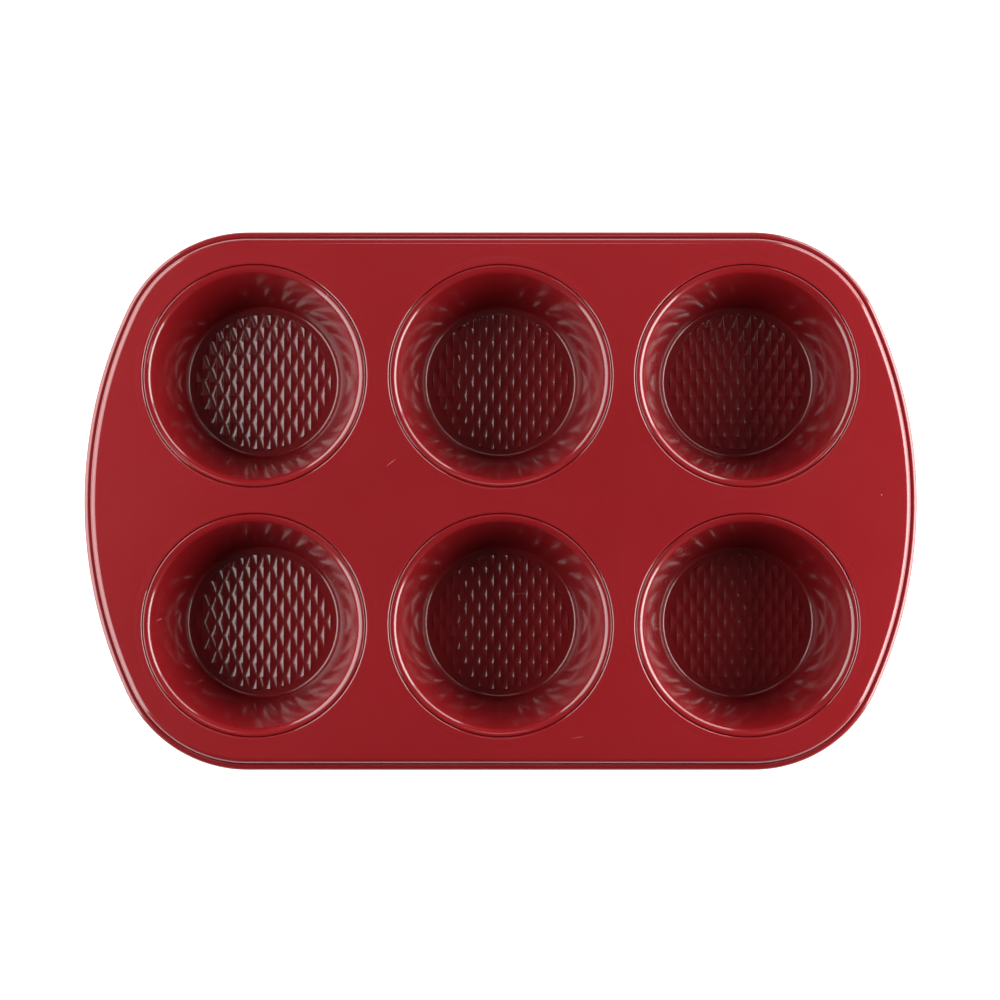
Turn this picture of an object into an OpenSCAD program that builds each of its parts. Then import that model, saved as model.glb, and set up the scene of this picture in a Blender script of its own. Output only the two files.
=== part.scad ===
// Six-cup muffin tin. A pressed steel deck has six flanged holes and a rim rolled round a wire.
// Six deep-drawn cups hang in the holes, each crimped to the deck by a folded seam.
// Origin: on the table under the middle of the tin. +X is the long side, +Y the back, +Z up.

/* [Outline] */
// Length over the rolled rim, along X
tin_length = 278; // [268:0.2:300]
// Width over the rolled rim, along Y
tin_width = 179.6; // [176:0.2:190]
// Radius of the four corners
corner_r = 44.8; // [40:0.2:48]

/* [Cups] */
// Distance between cup centres along the tin
cup_pitch_x = 81.9; // [80:0.1:84]
// Distance between the two rows of cups
cup_pitch_y = 82.9; // [80:0.1:84]
// Width of a cup across the crest of its rounded mouth
crest_d = 72.9; // [68:0.1:73]
// Depth of a cup below the deck
cup_depth = 32; // [26:0.5:40]
// Width of the flat part of a cup's floor
floor_d = 50.1; // [48:0.05:54]
// Inside radius where a cup's wall meets its floor
floor_fillet_r = 1.8; // [1:0.1:3]
// Radius of the rounding from a cup's crest down into its wall
mouth_bend_r = 2.3; // [1.8:0.1:3]

/* [Embossed floor] */
// Width of the round field of diamonds
field_d = 47.4; // [40:0.1:47.5]
// Width of one diamond, along X
diamond_w = 4.67; // [4:0.01:6]
// Length of one diamond, along Y
diamond_l = 9.4; // [8:0.1:12]
// Height of a diamond's peak above the floor
diamond_h = 0.45; // [0.2:0.05:0.45]

/* [Sheet and seams] */
// Thickness of the steel sheet
sheet = 0.5; // [0.4:0.05:0.6]
// Clearance between the layers of a folded seam
seam_play = 0.03; // [0.02:0.01:0.05]
// Open groove between a cup's rim and the deck
groove_w = 0.3; // [0.2:0.1:0.6]
// Outer radius of the deck's bend into a hole
hole_bend_r = 0.65; // [0.65:0.05:1]
// How far a cup's crest sits below the deck
crest_sink = 0.2; // [0:0.1:0.5]
// Depth of the seam below the deck, to the middle of its fold
seam_depth = 2; // [1.8:0.1:2.5]

/* [Rolled rim] */
// Outer width of the roll
roll_d = 3; // [2.6:0.1:4]
// Height of the deck above the middle of the roll
rim_drop = 4.2; // [4:0.1:8]
// Outer radius of the deck's shoulder above the roll
shoulder_r = 2; // [1:0.1:3]
// Where the roll's free edge stops, in degrees above the line to the skirt
roll_end = 58; // [50:1:90]
// Clearance between the wire and the roll
wire_play = 0.03; // [0.02:0.01:0.1]
// Gap between the ends of the wire
wire_gap = 0.6; // [0.2:0.1:2]

/* [Hidden] */
$fn = 120;

coating = "#98262a";
wire_steel = "#8a8a88";

deck_top = cup_depth + sheet;
crest_r = crest_d / 2;
floor_r = floor_d / 2;
field_r = field_d / 2;
overlap = 1;   // how far swept edges run into the flat plate

// Rolled rim, measured inwards from the outermost edge of the tin
roll_r = roll_d / 2;
roll_z = deck_top - rim_drop;
skirt_in = roll_d;
shoulder_in = skirt_in - sheet + shoulder_r;

// Outline: the two long sides are straight and the two ends are bowed. An end's arc meets a corner's
// arc on the line through both centres, which rises 36 in 77, so they are 85 apart in the same units.
corner_y = tin_width / 2 - corner_r;
unit = corner_y / 36;
end_r = corner_r + 85 * unit;
end_x = tin_length / 2 - end_r;
corner_x = end_x + 77 * unit;
meeting_line = 3 * [77, 36];   // runs well past the outline

// Seam: the cup's rim folds out and down over a lip on the deck's hole
crest_z = deck_top - crest_sink;
rim_bend_r = sheet + seam_play;
rim_bend_z = crest_z - rim_bend_r;
hole_r = crest_r + rim_bend_r + groove_w;
lip_x = crest_r - sheet;
lip_top = crest_z - 2 * sheet;
fold_outer_r = (hole_r + sheet - lip_x) / 2;
fold_x = lip_x + fold_outer_r;
fold_z = deck_top - seam_depth;
hole_flat_r = hole_r + hole_bend_r;

// Cup wall: a cone tangent to the floor's fillet and to the rounding of the mouth
fillet_centre = [floor_r, sheet + floor_fillet_r];
mouth_centre = [crest_r, crest_z - mouth_bend_r];
wall_run = mouth_centre - fillet_centre;
wall_lean = acos((floor_fillet_r + mouth_bend_r) / norm(wall_run)) - atan2(wall_run.y, wall_run.x);
wall_normal = [cos(wall_lean), -sin(wall_lean)];

// A ring sector in the plane, from one angle to a larger one
module arc_band(outer_r, inner_r, from, to) {
    steps = 4;
    reach = 2 * outer_r;
    angles = [for (i = [0:steps]) from + (to - from) * i / steps];
    intersection() {
        difference() {
            circle(outer_r);
            circle(inner_r);
        }
        polygon(concat([[0, 0]], [for (a = angles) reach * [cos(a), sin(a)]]));
    }
}

// A box in the plane between two corners
module band(low, high) {
    translate(low) square(high - low);
}

// The tin's outline, moved inwards
module outline(inset) {
    square([2 * corner_x, tin_width - 2 * inset], center = true);
    for (sx = [-1, 1], sy = [-1, 1])
        translate([sx * corner_x, sy * corner_y]) circle(corner_r - inset);
    for (side = [0, 1])
        mirror([side, 0])
            translate([end_x, 0])
                intersection() {
                    circle(end_r - inset);
                    end_wedge();
                }
}

// The share of the outline that belongs to a bowed end, seen from the centre of its arc
module end_wedge() {
    polygon([[0, 0], [meeting_line.x, -meeting_line.y], meeting_line]);
}

// The share that belongs to a corner, seen from the corner's centre
module corner_wedge() {
    polygon([[0, 0], meeting_line, [0, meeting_line.x]]);
}

// The first child is a section, turned about the origin at a radius. The second is the wedge to keep.
module turned(radius) {
    intersection() {
        rotate_extrude() translate([radius, 0]) mirror([1, 0]) children(0);
        linear_extrude(deck_top + overlap) children(1);
    }
}

// Sweeps a section round the outline. The section's x is the distance inwards from the edge.
module around_outline() {
    for (turn = [0, 180])
        rotate(turn)
            translate([-corner_x, tin_width / 2, 0])
                rotate([90, 0, 90])
                    linear_extrude(2 * corner_x) mirror([1, 0]) children();
    for (flip_x = [0, 1], flip_y = [0, 1])
        mirror([flip_x, 0, 0])
            mirror([0, flip_y, 0])
                translate([corner_x, corner_y, 0])
                    turned(corner_r) {
                        children();
                        corner_wedge();
                    }
    for (side = [0, 1])
        mirror([side, 0, 0])
            translate([end_x, 0, 0])
                turned(end_r) {
                    children();
                    end_wedge();
                }
}

// Shoulder, skirt and roll: the deck's edge in section
module rim_section() {
    band([shoulder_in, deck_top - sheet], [shoulder_in + overlap, deck_top]);
    translate([shoulder_in, deck_top - shoulder_r])
        arc_band(shoulder_r, shoulder_r - sheet, 90, 180);
    band([skirt_in - sheet, roll_z], [skirt_in, deck_top - shoulder_r]);
    translate([roll_r, roll_z]) arc_band(roll_r, roll_r - sheet, roll_end, 360);
}

// The flange round a hole of the deck: down, under the cup's fold, and up again as a lip
module hole_section() {
    band([hole_flat_r, deck_top - sheet], [hole_flat_r + overlap, deck_top]);
    translate([hole_flat_r, deck_top - hole_bend_r])
        arc_band(hole_bend_r, hole_bend_r - sheet, 90, 180);
    band([hole_r, fold_z], [hole_r + sheet, deck_top - hole_bend_r]);
    translate([fold_x, fold_z]) arc_band(fold_outer_r, fold_outer_r - sheet, 180, 360);
    band([lip_x, fold_z], [lip_x + sheet, lip_top]);
}

// A cup in section, from the middle of its floor to its folded rim
module cup_section() {
    wall_foot = fillet_centre + floor_fillet_r * wall_normal;
    wall_head = mouth_centre - mouth_bend_r * wall_normal;
    band([0, 0], [floor_r, sheet]);
    translate(fillet_centre)
        arc_band(floor_fillet_r + sheet, floor_fillet_r, -90, -wall_lean);
    polygon([wall_foot, wall_foot + sheet * wall_normal,
             wall_head + sheet * wall_normal, wall_head]);
    translate(mouth_centre)
        arc_band(mouth_bend_r, mouth_bend_r - sheet, 90, 180 - wall_lean);
    translate([crest_r, rim_bend_z]) arc_band(rim_bend_r, rim_bend_r - sheet, 0, 90);
    band([crest_r + rim_bend_r - sheet, fold_z], [crest_r + rim_bend_r, rim_bend_z]);
}

// A block whose top is a field of pointed diamonds, with its valleys at height 0
module diamond_block() {
    depth = 1;
    half_cols = ceil(field_r / (diamond_w / 2)) + 1;
    half_rows = ceil(field_r / (diamond_l / 2)) + 1;
    cols = 2 * half_cols + 1;
    rows = 2 * half_rows + 1;
    function at(i, j) = i + cols * j;
    function peak(i, j) = (i - half_cols + j - half_rows) % 2 == 0;
    top = [for (j = [0:rows - 1], i = [0:cols - 1])
               [(i - half_cols) * diamond_w / 2, (j - half_rows) * diamond_l / 2,
                peak(i, j) ? diamond_h : 0]];
    edge = concat([for (i = [0:cols - 1]) at(i, 0)],
                  [for (j = [1:rows - 1]) at(cols - 1, j)],
                  [for (i = [cols - 2:-1:0]) at(i, rows - 1)],
                  [for (j = [rows - 2:-1:1]) at(0, j)]);
    below = [for (k = edge) [top[k].x, top[k].y, -depth]];
    middle = len(top) + len(edge);
    facets = [for (j = [0:rows - 2], i = [0:cols - 2])
                  let (a = at(i, j), b = at(i + 1, j), c = at(i + 1, j + 1), d = at(i, j + 1))
                  each peak(i, j) ? [[a, d, b], [c, b, d]] : [[a, c, b], [a, d, c]]];
    sides = [for (k = [0:len(edge) - 1])
                 let (n = (k + 1) % len(edge))
                 each [[edge[k], edge[n], len(top) + n, len(top) + k],
                       [middle, len(top) + k, len(top) + n]]];
    polyhedron(concat(top, below, [[0, 0, -depth]]), concat(facets, sides));
}

// The diamonds within a circle, standing on a given height
module diamond_field(r, z) {
    intersection() {
        translate([0, 0, z]) diamond_block();
        translate([0, 0, z - sheet / 2]) cylinder(r = r, h = sheet + diamond_h);
    }
}

// One cup. Its floor is embossed, so the diamonds stand up inside and are hollow underneath.
module cup() {
    color(coating)
        difference() {
            union() {
                rotate_extrude() cup_section();
                diamond_field(field_r, sheet);
            }
            diamond_field(field_r - sheet, 0);
        }
}

// A cup in its place: column -1, 0 or 1 along X, row -1 in front or 1 at the back
module placed_cup(column, row) {
    translate([column * cup_pitch_x, row * cup_pitch_y / 2, 0]) cup();
}

module at_cups() {
    for (column = [-1, 0, 1], row = [-1, 1])
        translate([column * cup_pitch_x, row * cup_pitch_y / 2, 0]) children();
}

module deck() {
    color(coating) {
        translate([0, 0, deck_top - sheet])
            linear_extrude(sheet)
                difference() {
                    outline(shoulder_in + overlap / 2);
                    at_cups() circle(hole_flat_r + overlap / 2);
                }
        around_outline() rim_section();
        at_cups() rotate_extrude() hole_section();
    }
}

module rim_wire() {
    color(wire_steel)
        difference() {
            around_outline()
                translate([roll_r, roll_z]) circle(roll_r - sheet - wire_play);
            translate([0, tin_width / 2 - roll_r, roll_z])
                cube([wire_gap, roll_d, roll_d], center = true);
        }
}

module cup_back_left() {
    placed_cup(-1, 1);
}

module cup_back_middle() {
    placed_cup(0, 1);
}

module cup_back_right() {
    placed_cup(1, 1);
}

module cup_front_left() {
    placed_cup(-1, -1);
}

module cup_front_middle() {
    placed_cup(0, -1);
}

module cup_front_right() {
    placed_cup(1, -1);
}

deck();
rim_wire();
cup_back_left();
cup_back_middle();
cup_back_right();
cup_front_left();
cup_front_middle();
cup_front_right();
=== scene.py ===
import math

import bpy
import numpy as np
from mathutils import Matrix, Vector
from mathutils.geometry import delaunay_2d_cdt


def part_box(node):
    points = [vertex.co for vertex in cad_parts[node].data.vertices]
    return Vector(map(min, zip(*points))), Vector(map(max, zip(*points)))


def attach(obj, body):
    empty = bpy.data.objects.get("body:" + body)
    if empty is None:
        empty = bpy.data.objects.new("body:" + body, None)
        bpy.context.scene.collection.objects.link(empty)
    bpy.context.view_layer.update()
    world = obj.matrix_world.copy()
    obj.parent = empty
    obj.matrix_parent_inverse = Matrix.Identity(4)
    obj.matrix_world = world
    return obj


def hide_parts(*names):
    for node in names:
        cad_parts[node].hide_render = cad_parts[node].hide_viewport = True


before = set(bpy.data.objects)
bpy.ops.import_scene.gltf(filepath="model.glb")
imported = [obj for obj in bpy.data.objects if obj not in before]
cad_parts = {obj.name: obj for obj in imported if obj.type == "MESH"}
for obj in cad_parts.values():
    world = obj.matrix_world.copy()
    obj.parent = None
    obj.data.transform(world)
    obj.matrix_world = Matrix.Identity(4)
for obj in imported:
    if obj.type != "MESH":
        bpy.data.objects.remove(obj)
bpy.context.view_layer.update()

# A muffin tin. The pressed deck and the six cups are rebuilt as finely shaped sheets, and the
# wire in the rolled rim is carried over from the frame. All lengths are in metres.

MM = 0.001

# Sizes that the frame's boxes don't give
SHEET = 0.5 * MM
CUP_NODES = ["cup_back_left", "cup_back_middle", "cup_back_right",
             "cup_front_left", "cup_front_middle", "cup_front_right"]

# Cup
FLOOR_R = 25.05 * MM
FLOOR_FILLET_R = 1.4 * MM  # 0.4 mm tighter than the frame's cups
MOUTH_BEND_R = 2.3 * MM
SEAM_PLAY = 0.03 * MM
SEAM_DEPTH = 2 * MM
FIELD_R = 23.7 * MM
FIELD_FADE = 0.5 * MM
DIAMOND_W = 4.67 * MM
DIAMOND_L = 9.4 * MM
DIAMOND_H = 0.45 * MM
FLANK_STRAIGHT = 0.52      # share of a flank's rise that is straight; the rest steepens to the spine
RIDGE_CURVE = 1.35         # above 1, the spine falls faster beside its peak
SPINE_R = 0.05 * MM        # softness of the diamonds' ridges

# Deck
GROOVE_W = 0.15 * MM       # half the width of the frame's groove
HOLE_BEND_R = 0.65 * MM
CORNER_R = 44.8 * MM
MEET_RISE, MEET_RUN = 36, 77    # slope of the line through the centres of an end's arc and a corner's
ROLL_D = 3 * MM
RIM_DROP = 4.2 * MM
SHOULDER_R = 2 * MM
ROLL_END = 58              # degrees above the line from the roll's middle to the skirt
PRESS_MARK_R = 39.9 * MM
PRESS_MARK_DEPTH = 0.02 * MM
PRESS_MARK_W = 0.35 * MM
FLAT_START = 0.4 * MM      # flat ring between a hole's bend and the press mark

# Fineness of the meshes
BEND_STEP = 9              # degrees between points round a bend
RING_POINTS = 192          # points round a cup
EDGE_STEP = 1.6 * MM       # spacing of points along a straight edge of the deck
WELD = 0.0005 * MM         # points this close are one point
WALL_STEPS = 8             # bands up a cup's wall
RIM_CLEAR = 0.12 * MM      # no grid points this close to the embossed field's edge
SLOPE_STEP = 0.01 * MM     # for the slope of the diamonds
TINY = 1e-9                # for comparing lengths
SAME_SPOT = 1e-7           # edge points this close are one point
MARK_STEPS = [-3, -2, -1.4, -0.9, -0.4, 0, 0.4, 0.9, 1.4, 2]    # rings across the press mark
FINE_ACROSS = [v * MM for v in (0, 0.1, 0.3, 0.65, 1.1, 1.6, 2.035, 2.235)]
FINE_ALONG = [v * MM for v in (0, 0.15, 0.5, 1.0, 1.6, 2.3, 3.0, 3.7, 4.2, 4.55)]
COARSE_ACROSS = [v * MM for v in (0, 0.3, 1.1, 2.0)]
COARSE_ALONG = [v * MM for v in (0, 0.5, 1.6, 3.0, 4.2)]

# Coatings and wire
DECK_RED = (0.153, 0.0048, 0.0068)
CUP_RED = (0.142, 0.0032, 0.0050)
GRAIN_RED = (0.30, 0.02, 0.024, 1.0)
WORN_RED = (0.62, 0.42, 0.40, 1.0)
STEEL_DARK = (0.36, 0.35, 0.34, 1.0)
STEEL_LIGHT = (0.52, 0.51, 0.50, 1.0)
DECK_BLUR = 0.11           # roughness of the clear top of the coating
CUP_BLUR = 0.125
CUP_OFFSET = (0.37, 0.11, 0.05)    # shifts the cups' pattern away from the deck's
COATING_IOR = 1.5
BASE_SPECULAR = 0.10
NOISE_LOW, NOISE_HIGH = 0.3, 0.7   # the range that most of a noise texture falls in
PEEL_HEIGHT = 0.000006
WAVE_HEIGHT = 0.00004
DIE_LINE_HEIGHT = 0.00001

# Light, as radiance
FLOOR_GLOW = 1.0
LEFT_RADIANCE = 6.9
LEFT_UPPER_RADIANCE = 5.2
RIGHT_RADIANCE = 12.8
BACK_RADIANCE = 3.6
RIGHT_BACK_RADIANCE = 7.0
ROOM_RADIANCE = 0.04
FLOOR_HALF = 12.0          # half the side of the floor

# Camera
CAMERA_X = -0.0002
CAMERA_Y = -0.0133
CAMERA_RISE = 0.768        # above the deck
CAMERA_TILT = 1.0          # degrees
CAMERA_LENS = 83.3         # millimetres, on a 36 mm sensor


def cup_centre(node):
    low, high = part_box(node)
    return np.array([(low.x + high.x) / 2, (low.y + high.y) / 2])


tin_low, tin_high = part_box("deck")
deck_top = tin_high.z
half_length = tin_high.x
half_width = tin_high.y
centres = {node: cup_centre(node) for node in CUP_NODES}
pitch = np.abs(centres["cup_back_right"] - centres["cup_front_middle"])
cup_low, cup_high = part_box("cup_back_middle")
rim_bend_r = SHEET + SEAM_PLAY
crest_r = (cup_high.x - cup_low.x) / 2 - rim_bend_r
crest_z = cup_high.z
hole_r = crest_r + rim_bend_r + GROOVE_W
hole_flat_r = hole_r + HOLE_BEND_R
shoulder_in = ROLL_D - SHEET + SHOULDER_R


# ---------------------------------------------------------------- bent sheet

def bent_path(start, heading, moves):
    """Follows the middle of a sheet in section. A move is a length to run, or a (radius, degrees)
    bend that turns left when the degrees are positive. Returns the points, and at each one the
    direction to the sheet's left side."""
    x, z = start
    angle = math.radians(heading)
    points = [(x, z)]
    lefts = [(-math.sin(angle), math.cos(angle))]
    for move in moves:
        if isinstance(move, tuple):
            radius, degrees = move
            side = math.copysign(1, degrees)
            cx = x - math.sin(angle) * radius * side
            cz = z + math.cos(angle) * radius * side
            steps = max(2, math.ceil(abs(degrees) / BEND_STEP))
            for _ in range(steps):
                angle += math.radians(degrees) / steps
                x = cx + math.sin(angle) * radius * side
                z = cz - math.cos(angle) * radius * side
                points.append((x, z))
                lefts.append((-math.sin(angle), math.cos(angle)))
        else:
            x += math.cos(angle) * move
            z += math.sin(angle) * move
            points.append((x, z))
            lefts.append((-math.sin(angle), math.cos(angle)))
    return np.array(points), np.array(lefts)


class Shell:
    """Collects patches of a surface, welds them where they meet and makes one mesh of them."""

    def __init__(self):
        self.points, self.normals, self.faces, self.count = [], [], [], 0

    def add(self, points, normals, faces):
        a, b, c = (points[[f[k] for f in faces[:50]]] for k in range(3))
        facing = np.cross(b - a, c - b)
        wanted = normals[[f[0] for f in faces[:50]]]
        if (facing * wanted).sum() < 0:
            faces = [f[::-1] for f in faces]
        self.faces += [tuple(i + self.count for i in f) for f in faces]
        self.points.append(points)
        self.normals.append(normals)
        self.count += len(points)

    def add_grid(self, points, normals, closed):
        """points and normals are stations x section x 3; closed joins the last station to the first."""
        stations, along = points.shape[:2]
        faces = []
        for i in range(stations if closed else stations - 1):
            n = (i + 1) % stations
            for j in range(along - 1):
                faces.append((i * along + j, n * along + j, n * along + j + 1, i * along + j + 1))
        self.add(points.reshape(-1, 3), normals.reshape(-1, 3), faces)

    def make(self, name):
        points = np.concatenate(self.points)
        normals = np.concatenate(self.normals)
        keys = np.round(points / WELD).astype(np.int64)
        _, spot = np.unique(keys, axis=0, return_inverse=True)
        spot = spot.ravel()
        welded = np.zeros((spot.max() + 1, 3))
        welded[spot] = points
        mesh = bpy.data.meshes.new(name)
        mesh.from_pydata(welded.tolist(), [], [[int(spot[i]) for i in f] for f in self.faces])
        mesh.polygons.foreach_set("use_smooth", [True] * len(self.faces))
        mesh.normals_split_custom_set([tuple(normals[i]) for f in self.faces for i in f])
        mesh.update()
        piece = bpy.data.objects.new(name, mesh)
        bpy.context.scene.collection.objects.link(piece)
        return piece


def unit(vectors):
    return vectors / np.linalg.norm(vectors, axis=-1, keepdims=True)


def swept(origins, outwards, section, lefts):
    """Places a section at each station. The section's x runs outwards from the station's origin."""
    points = np.zeros((len(origins), len(section), 3))
    normals = np.zeros_like(points)
    points[..., :2] = origins[:, None] + outwards[:, None] * section[None, :, :1]
    points[..., 2] = section[None, :, 1]
    normals[..., :2] = outwards[:, None] * lefts[None, :, :1]
    normals[..., 2] = lefts[None, :, 1]
    return points, normals


def add_sheet(shell, origins, outwards, path, cut_ends):
    """Adds both faces of a bent sheet that is swept round a closed line, and its cut ends."""
    middle, lefts = path
    left_face = middle + lefts * SHEET / 2
    right_face = middle - lefts * SHEET / 2
    shell.add_grid(*swept(origins, outwards, left_face, lefts), True)
    shell.add_grid(*swept(origins, outwards, right_face, -lefts), True)
    for end in cut_ends:
        edge = np.array([left_face[end], right_face[end]])
        left = lefts[end]
        run = np.array([left[1], -left[0]])
        out = run if end else -run
        shell.add_grid(*swept(origins, outwards, edge, np.array([out, out])), True)


# ---------------------------------------------------------------- cups

def diamond_height(x, y):
    """Height of the embossed diamonds, whose lowest lines are at 0."""
    a, b = DIAMOND_W / 2, DIAMOND_L / 2
    i, j = np.round(x / a), np.round(y / b)
    best = np.zeros_like(x)
    for di in (-1, 0, 1):
        for dj in (-1, 0, 1):
            on_lattice = (i + di + j + dj) % 2 == 0
            u = np.sqrt((x - (i + di) * a) ** 2 + SPINE_R ** 2) - SPINE_R
            v = np.sqrt((y - (j + dj) * b) ** 2 + SPINE_R ** 2) - SPINE_R
            ridge = np.maximum(1 - v / b, TINY)
            flank = np.clip(1 - u / (a * ridge), 0, 1)
            rise = ridge ** RIDGE_CURVE * (FLANK_STRAIGHT * flank + (1 - FLANK_STRAIGHT) * flank ** 3)
            best = np.where(on_lattice, np.maximum(best, rise), best)
    fade = np.clip((FIELD_R - np.hypot(x, y)) / FIELD_FADE, 0, 1)
    return DIAMOND_H * best * fade * fade * (3 - 2 * fade)


def lattice_lines(half_cell, offsets, reach):
    """Grid lines that crowd round each multiple of half a diamond, from -reach to reach."""
    count = math.ceil(reach / half_cell)
    lines = [k * half_cell + o for k in range(-count, count + 1) for o in offsets]
    return np.array(sorted(v for v in lines if abs(v) <= reach))


def field_layout(across, along):
    """Points and triangles that cover the round field, with edges along the diamonds' ridges."""
    ring = np.linspace(0, 2 * math.pi, RING_POINTS, endpoint=False)
    rim = FIELD_R * np.stack([np.cos(ring), np.sin(ring)], 1)
    xs = lattice_lines(DIAMOND_W / 2, across, FIELD_R)
    ys = lattice_lines(DIAMOND_L / 2, along, FIELD_R)
    grid = np.array([(x, y) for x in xs for y in ys if math.hypot(x, y) < FIELD_R - RIM_CLEAR])
    flat = [Vector(p) for p in np.concatenate([rim, grid]) / MM]
    spots, _, faces, *_ = delaunay_2d_cdt(flat, [], [list(range(RING_POINTS))], 1, 1e-5)
    return np.array([(s.x, s.y) for s in spots]) * MM, [tuple(f) for f in faces]


def add_field(shell, centre, layout, z, up):
    """One side of a cup's embossed floor. up is 1 for its top and -1 for its underside."""
    spots, faces = layout
    x, y = spots.T
    step = SLOPE_STEP
    slope_x = (diamond_height(x + step, y) - diamond_height(x - step, y)) / (2 * step)
    slope_y = (diamond_height(x, y + step) - diamond_height(x, y - step)) / (2 * step)
    points = np.stack([x + centre[0], y + centre[1], z + diamond_height(x, y)], 1)
    normals = unit(np.stack([-slope_x, -slope_y, np.ones_like(x)], 1)) * up
    shell.add(points, normals, faces)


def cup_path():
    """A cup's sheet in section, from the edge of the embossed field to the end of its folded rim."""
    fillet = np.array([FLOOR_R, SHEET + FLOOR_FILLET_R])
    mouth = np.array([crest_r, crest_z - MOUTH_BEND_R])
    run = mouth - fillet
    reach = FLOOR_FILLET_R + MOUTH_BEND_R
    rise = 90 - math.degrees(math.acos(reach / np.linalg.norm(run)) - math.atan2(run[1], run[0]))
    wall = math.sqrt(run @ run - reach ** 2)
    flange = crest_z - rim_bend_r - (deck_top - SEAM_DEPTH)
    floor = [FLOOR_R - FIELD_R, (FLOOR_FILLET_R + SHEET / 2, rise)]
    side = [wall / WALL_STEPS] * WALL_STEPS
    rim = [(MOUTH_BEND_R - SHEET / 2, -rise), (rim_bend_r - SHEET / 2, -90), flange]
    return bent_path((FIELD_R, SHEET / 2), 0, floor + side + rim)


def make_cup(node, top_layout, under_layout):
    shell = Shell()
    ring = np.linspace(0, 2 * math.pi, RING_POINTS, endpoint=False)
    outwards = np.stack([np.cos(ring), np.sin(ring)], 1)
    origins = np.repeat(centres[node][None], RING_POINTS, 0)
    add_sheet(shell, origins, outwards, cup_path(), cut_ends=[-1])
    add_field(shell, centres[node], top_layout, SHEET, 1)
    add_field(shell, centres[node], under_layout, 0, -1)
    piece = shell.make(node.replace("cup", "drawn_cup"))
    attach(piece, "root")
    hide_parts(node)
    return piece


# ---------------------------------------------------------------- deck

def arc_points(centre, radius, start, end):
    steps = math.ceil(abs(end - start) * radius / EDGE_STEP)
    angles = np.linspace(start, end, steps, endpoint=False)
    outwards = np.stack([np.cos(angles), np.sin(angles)], 1)
    return np.array(centre) + radius * outwards, outwards


def line_points(start, end, outward):
    start, end = np.array(start), np.array(end)
    steps = math.ceil(np.linalg.norm(end - start) / EDGE_STEP)
    t = np.linspace(0, 1, steps, endpoint=False)[:, None]
    return start + (end - start) * t, np.repeat(np.array([outward], float), steps, 0)


def all_round(values, last):
    """Mirrors a quarter of the outline, whose last value lies on the y axis, into all of it."""
    left = np.concatenate([values, [last]])[1:][::-1] * (-1, 1)
    half = np.concatenate([values, left, [values[0] * (-1, 1)]])
    return np.concatenate([half, half[1:-1][::-1] * (1, -1)])


def outline_stations():
    """Points round the tin's outline and the outward direction at each. Two bowed ends, four corners
    and two straight sides, with a point on each line between neighbouring cups."""
    corner_y = half_width - CORNER_R
    meet = math.atan2(MEET_RISE, MEET_RUN)
    end_r = CORNER_R + corner_y / math.sin(meet)
    end_x = half_length - end_r
    corner_x = end_x + corner_y / math.tan(meet)
    between = pitch[0] / 2
    top = (0, 1)
    quarter = [arc_points((end_x, 0), end_r, 0, meet),
               arc_points((corner_x, corner_y), CORNER_R, meet, math.pi / 2),
               line_points((corner_x, half_width), (between, half_width), top),
               line_points((between, half_width), (0, half_width), top)]
    points = np.concatenate([p for p, _ in quarter])
    outs = np.concatenate([o for _, o in quarter])

    return all_round(points, (0, half_width)), all_round(outs, top)


def press_mark(r):
    """Height and slope of the faint ring that the press leaves round each hole."""
    height = -PRESS_MARK_DEPTH * np.exp(-((r - PRESS_MARK_R) / PRESS_MARK_W) ** 2 / 2)
    return height, -height * (r - PRESS_MARK_R) / PRESS_MARK_W ** 2


def rim_path():
    """Shoulder, skirt and roll in section. x is 0 at the outermost edge and negative inside it."""
    skirt = (deck_top - SHOULDER_R) - (deck_top - RIM_DROP)
    return bent_path((-shoulder_in, deck_top - SHEET / 2), 0,
                     [(SHOULDER_R - SHEET / 2, -90), skirt, ((ROLL_D - SHEET) / 2, 360 - ROLL_END)])


def hole_path():
    """The flange round a hole in section, from the top of the lip under the cup's fold to the deck."""
    lip_x = crest_r - SHEET
    fold_r = (hole_r + SHEET - lip_x) / 2
    fold_z = deck_top - SEAM_DEPTH
    lip_top = crest_z - 2 * SHEET
    return bent_path((lip_x + SHEET / 2, lip_top), -90,
                     [lip_top - fold_z, (fold_r - SHEET / 2, 180),
                      deck_top - HOLE_BEND_R - fold_z, (HOLE_BEND_R - SHEET / 2, -90)])


def cell_edge(centre, inset_points):
    """The points round one cup's share of the flat deck, by their direction from the cup."""
    side_x = pitch[0] / 2
    mine = [p for p in inset_points
            if p[1] * centre[1] > -TINY
            and (abs(p[0] - centre[0]) <= side_x + TINY
                 or p[0] * centre[0] > 0 and abs(p[0]) > abs(centre[0]) > 1e-6)]
    steps_x = math.ceil(side_x / EDGE_STEP)
    top_y = max(abs(p[1]) for p in inset_points)
    for s in (-1, 1):
        wall_x = centre[0] + s * side_x
        if abs(wall_x) > pitch[0]:
            continue
        ys = np.linspace(0, top_y, math.ceil(top_y / EDGE_STEP) + 1)
        mine += [np.array([wall_x, y * math.copysign(1, centre[1])]) for y in ys[1:-1]]
    reach = max(abs(p[0]) for p in inset_points)
    near = [k * side_x / steps_x for k in range(-steps_x, steps_x + 1)]
    mine += [np.array([centre[0] + x, 0.0]) for x in near
             if abs(centre[0] + x) <= reach - TINY]
    if abs(centre[0]) > 1e-6:
        out = math.copysign(1, centre[0])
        start = abs(centre[0]) + side_x
        extra = np.linspace(start, reach, max(2, math.ceil((reach - start) / EDGE_STEP) + 1))
        mine += [np.array([out * x, 0.0]) for x in extra[1:-1]]
    unique = {(round(p[0] / SAME_SPOT), round(p[1] / SAME_SPOT)): p for p in mine}
    edge = np.array(list(unique.values()))
    angle = np.arctan2(edge[:, 1] - centre[1], edge[:, 0] - centre[0])
    return edge[np.argsort(angle)]


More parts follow.
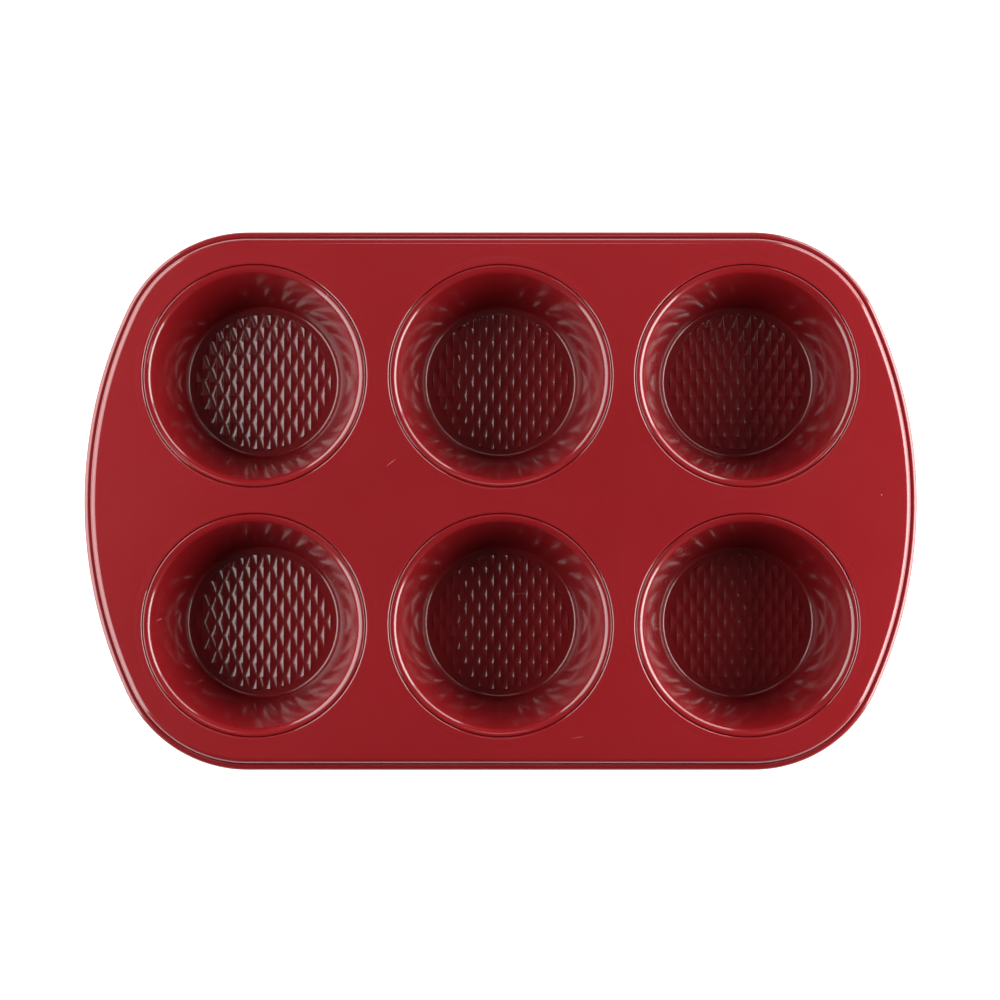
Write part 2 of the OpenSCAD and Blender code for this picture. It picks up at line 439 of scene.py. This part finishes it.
def add_flat(shell, centre, edge):
    """One cup's share of the flat deck, above and below, from the hole out to its edge."""
    arms = edge - centre
    reach = np.linalg.norm(arms, axis=1)
    outwards = arms / reach[:, None]
    mark = PRESS_MARK_R + PRESS_MARK_W * np.array(MARK_STEPS)
    radii = np.concatenate([[hole_flat_r, hole_flat_r + FLAT_START], mark])
    r = np.concatenate([np.repeat(radii[None], len(edge), 0), reach[:, None]], 1)
    height, slope = press_mark(r)
    height[:, -1] = slope[:, -1] = 0
    height[:, 0] = slope[:, 0] = 0
    for z, up in ((deck_top, 1), (deck_top - SHEET, -1)):
        points = np.dstack([centre[0] + outwards[:, :1] * r, centre[1] + outwards[:, 1:] * r, z + height])
        normals = unit(np.dstack([-outwards[:, :1] * slope, -outwards[:, 1:] * slope, np.ones_like(r)]))
        shell.add_grid(points, normals * up, True)
    return outwards


def make_deck():
    shell = Shell()
    points, outs = outline_stations()
    add_sheet(shell, points, outs, rim_path(), cut_ends=[-1])
    inset = points - outs * shoulder_in
    for centre in centres.values():
        outwards = add_flat(shell, centre, cell_edge(centre, inset))
        origins = np.repeat(centre[None], len(outwards), 0)
        add_sheet(shell, origins, outwards, hole_path(), cut_ends=[0])
    piece = shell.make("pressed_deck")
    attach(piece, "root")
    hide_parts("deck")
    return piece


# ---------------------------------------------------------------- materials

class Nodes:
    """A short way to write a node material."""

    def __init__(self, name):
        self.material = bpy.data.materials.new(name)
        self.material.use_nodes = True
        self.tree = self.material.node_tree
        self.shader = self.tree.nodes["Principled BSDF"]
        self.place = self.new("ShaderNodeTexCoord").outputs["Object"]

    def new(self, kind, inputs=None, **settings):
        node = self.tree.nodes.new(kind)
        for key, value in settings.items():
            setattr(node, key, value)
        for key, value in (inputs or {}).items():
            self.feed(value, node.inputs[key])
        return node

    def feed(self, value, socket):
        if isinstance(value, bpy.types.NodeSocket):
            self.tree.links.new(value, socket)
        else:
            socket.default_value = value

    def moved(self, offset, stretch=(1, 1, 1)):
        node = self.new("ShaderNodeMapping", {"Vector": self.place, "Location": offset, "Scale": stretch})
        return node.outputs["Vector"]

    def noise(self, scale, detail=2.0, rough=0.5, place=None):
        node = self.new("ShaderNodeTexNoise", {"Vector": place or self.place, "Scale": scale,
                                               "Detail": detail, "Roughness": rough})
        return node.outputs["Fac"]

    def spread(self, value, low, high, to_low, to_high):
        node = self.new("ShaderNodeMapRange", {"Value": value, "From Min": low, "From Max": high,
                                               "To Min": to_low, "To Max": to_high})
        return node.outputs["Result"]

    def math(self, operation, a, b):
        return self.new("ShaderNodeMath", {0: a, 1: b}, operation=operation).outputs[0]

    def mix(self, factor, a, b):
        node = self.new("ShaderNodeMix", data_type="RGBA")
        self.feed(factor, node.inputs[0])
        self.feed(a, node.inputs[6])
        self.feed(b, node.inputs[7])
        return node.outputs[2]


def fine_marks(n, offset):
    """Hair scratches and dust, as two masks from 0 to 1."""
    cells = n.new("ShaderNodeTexVoronoi", {"Vector": n.moved(offset, (1, 1, 0)), "Scale": 16.0},
                  feature="DISTANCE_TO_EDGE").outputs["Distance"]
    line = n.spread(cells, 0.0, 0.0016, 1.0, 0.0)
    patches = n.spread(n.noise(60.0, 1.0, place=n.moved(offset)), 0.65, 0.71, 0.0, 1.0)
    scratch = n.math("MULTIPLY", line, patches)
    dots = n.new("ShaderNodeTexVoronoi", {"Vector": n.moved(offset), "Scale": 150.0})
    dot = n.spread(dots.outputs["Distance"], 0.02, 0.035, 1.0, 0.0)
    rare = n.new("ShaderNodeSeparateColor", {"Color": dots.outputs["Color"]}).outputs["Red"]
    dust = n.math("MULTIPLY", dot, n.spread(rare, 0.90, 0.91, 0.0, 1.0))
    return scratch, dust


def red_coating(name, color, blur, offset):
    """Glossy red baked-on coating with faint tone changes, dust, hair scratches and orange peel."""
    n = Nodes(name)
    tone = n.noise(9.0, 3.0, place=n.moved(offset))
    grain = n.noise(1400.0, 2.0)
    dark = [c * 0.93 for c in color] + [1.0]
    light = [c * 1.06 + 0.0004 for c in color] + [1.0]
    base = n.mix(n.spread(tone, NOISE_LOW, NOISE_HIGH, 0.0, 1.0), dark, light)
    base = n.mix(n.spread(grain, NOISE_LOW, NOISE_HIGH, 0.0, 0.05), base, GRAIN_RED)
    scratch, dust = fine_marks(n, offset)
    worn = n.math("MAXIMUM", n.math("MULTIPLY", scratch, 0.35), n.math("MULTIPLY", dust, 0.5))
    n.feed(n.mix(worn, base, WORN_RED), n.shader.inputs["Base Color"])
    smear = n.noise(45.0, 4.0, 0.6, place=n.moved(offset))
    rough = n.math("ADD", n.spread(smear, NOISE_LOW, NOISE_HIGH, 0.36, 0.44), n.math("MULTIPLY", worn, 0.3))
    n.feed(rough, n.shader.inputs["Roughness"])
    n.shader.inputs["IOR"].default_value = COATING_IOR
    n.shader.inputs["Specular IOR Level"].default_value = BASE_SPECULAR
    n.shader.inputs["Coat Weight"].default_value = 1.0
    n.shader.inputs["Coat IOR"].default_value = COATING_IOR
    n.shader.inputs["Coat Roughness"].default_value = blur
    peel = n.new("ShaderNodeBump", {"Height": n.noise(380.0, 1.0), "Strength": 1.0,
                                    "Distance": PEEL_HEIGHT})
    waves = n.new("ShaderNodeBump", {"Height": n.noise(55.0, 1.0), "Strength": 1.0,
                                     "Distance": WAVE_HEIGHT, "Normal": peel.outputs["Normal"]})
    n.feed(waves.outputs["Normal"], n.shader.inputs["Normal"])
    n.feed(waves.outputs["Normal"], n.shader.inputs["Coat Normal"])
    return n.material


def drawn_steel(name):
    """Bare steel wire with fine lines from the die."""
    n = Nodes(name)
    tone = n.noise(120.0, 3.0)
    base = n.mix(n.spread(tone, NOISE_LOW, NOISE_HIGH, 0.0, 1.0), STEEL_DARK, STEEL_LIGHT)
    n.feed(base, n.shader.inputs["Base Color"])
    n.shader.inputs["Metallic"].default_value = 1.0
    n.feed(n.spread(n.noise(700.0, 3.0), NOISE_LOW, NOISE_HIGH, 0.25, 0.45), n.shader.inputs["Roughness"])
    lines = n.noise(2500.0, 2.0, place=n.moved((0, 0, 0), (0.1, 1, 1)))
    bump = n.new("ShaderNodeBump", {"Height": lines, "Strength": 0.5, "Distance": DIE_LINE_HEIGHT})
    n.feed(bump.outputs["Normal"], n.shader.inputs["Normal"])
    return n.material


def dress(piece, material):
    piece.data.materials.clear()
    piece.data.materials.append(material)


# ---------------------------------------------------------------- stage

def make_stage():
    """A pale floor that glows evenly, so the tin stands on plain white."""
    mesh = bpy.data.meshes.new("floor")
    half = FLOOR_HALF
    mesh.from_pydata([(-half, -half, 0), (half, -half, 0), (half, half, 0), (-half, half, 0)],
                     [], [(0, 1, 2, 3)])
    floor = bpy.data.objects.new("floor", mesh)
    bpy.context.scene.collection.objects.link(floor)
    n = Nodes("pale_floor")
    n.shader.inputs["Base Color"].default_value = (0.5, 0.5, 0.5, 1.0)
    n.shader.inputs["Roughness"].default_value = 0.9
    n.shader.inputs["Specular IOR Level"].default_value = 0.0
    n.shader.inputs["Emission Color"].default_value = (1.0, 1.0, 1.0, 1.0)
    n.shader.inputs["Emission Strength"].default_value = FLOOR_GLOW
    dress(floor, n.material)


def add_panel(name, centre, facing, size, radiance):
    """A flat soft panel of light. size is its width and height, and facing is where it points."""
    data = bpy.data.lights.new(name, "AREA")
    data.shape = "RECTANGLE"
    data.size, data.size_y = size
    data.energy = radiance * math.pi * size[0] * size[1]
    lamp = bpy.data.objects.new(name, data)
    lamp.location = centre
    lamp.rotation_euler = Vector(facing).to_track_quat("-Z", "Y").to_euler()
    lamp.visible_camera = False
    bpy.context.scene.collection.objects.link(lamp)


def make_lights():
    # The back-right panel is there only to brighten the cup walls that face it.
    add_panel("left_panel", (-0.34, 0.095, 0.195), (1, 0, 0), (0.64, 0.32), LEFT_RADIANCE)
    add_panel("left_upper_panel", (-0.34, 0.02, 0.463), (1, 0, 0), (0.42, 0.216), LEFT_UPPER_RADIANCE)
    add_panel("right_panel", (0.42, -0.005, 0.195), (-1, 0, 0), (0.48, 0.33), RIGHT_RADIANCE)
    add_panel("right_back_panel", (0.36, 0.42, 0.195), (-0.75, -0.66, 0), (0.34, 0.33), RIGHT_BACK_RADIANCE)
    add_panel("back_panel", (0.01, 0.40, 1.05), (0, -0.35, -1), (0.28, 0.16), BACK_RADIANCE)
    world = bpy.data.worlds.new("dim_room")
    world.use_nodes = True
    world.node_tree.nodes["Background"].inputs["Color"].default_value = (1.0, 1.0, 1.0, 1.0)
    world.node_tree.nodes["Background"].inputs["Strength"].default_value = ROOM_RADIANCE
    bpy.context.scene.world = world


def make_camera():
    """Looks down on the tin from a little in front of its middle."""
    data = bpy.data.cameras.new("camera")
    data.sensor_width = 36.0
    data.lens = CAMERA_LENS
    camera = bpy.data.objects.new("camera", data)
    camera.location = (CAMERA_X, CAMERA_Y, deck_top + CAMERA_RISE)
    camera.rotation_euler = (math.radians(CAMERA_TILT), 0.0, 0.0)
    bpy.context.scene.collection.objects.link(camera)
    bpy.context.scene.camera = camera


# ---------------------------------------------------------------- build

top_layout = field_layout(FINE_ACROSS, FINE_ALONG)
under_layout = field_layout(COARSE_ACROSS, COARSE_ALONG)

deck_paint = red_coating("deck_red", DECK_RED, DECK_BLUR, (0.0, 0.0, 0.0))
cup_paint = red_coating("cup_red", CUP_RED, CUP_BLUR, CUP_OFFSET)
dress(make_deck(), deck_paint)
for cup in CUP_NODES:
    dress(make_cup(cup, top_layout, under_layout), cup_paint)
dress(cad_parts["rim_wire"], drawn_steel("wire_steel"))

make_stage()
make_lights()
make_camera()
bpy.context.scene.view_settings.view_transform = "Standard"
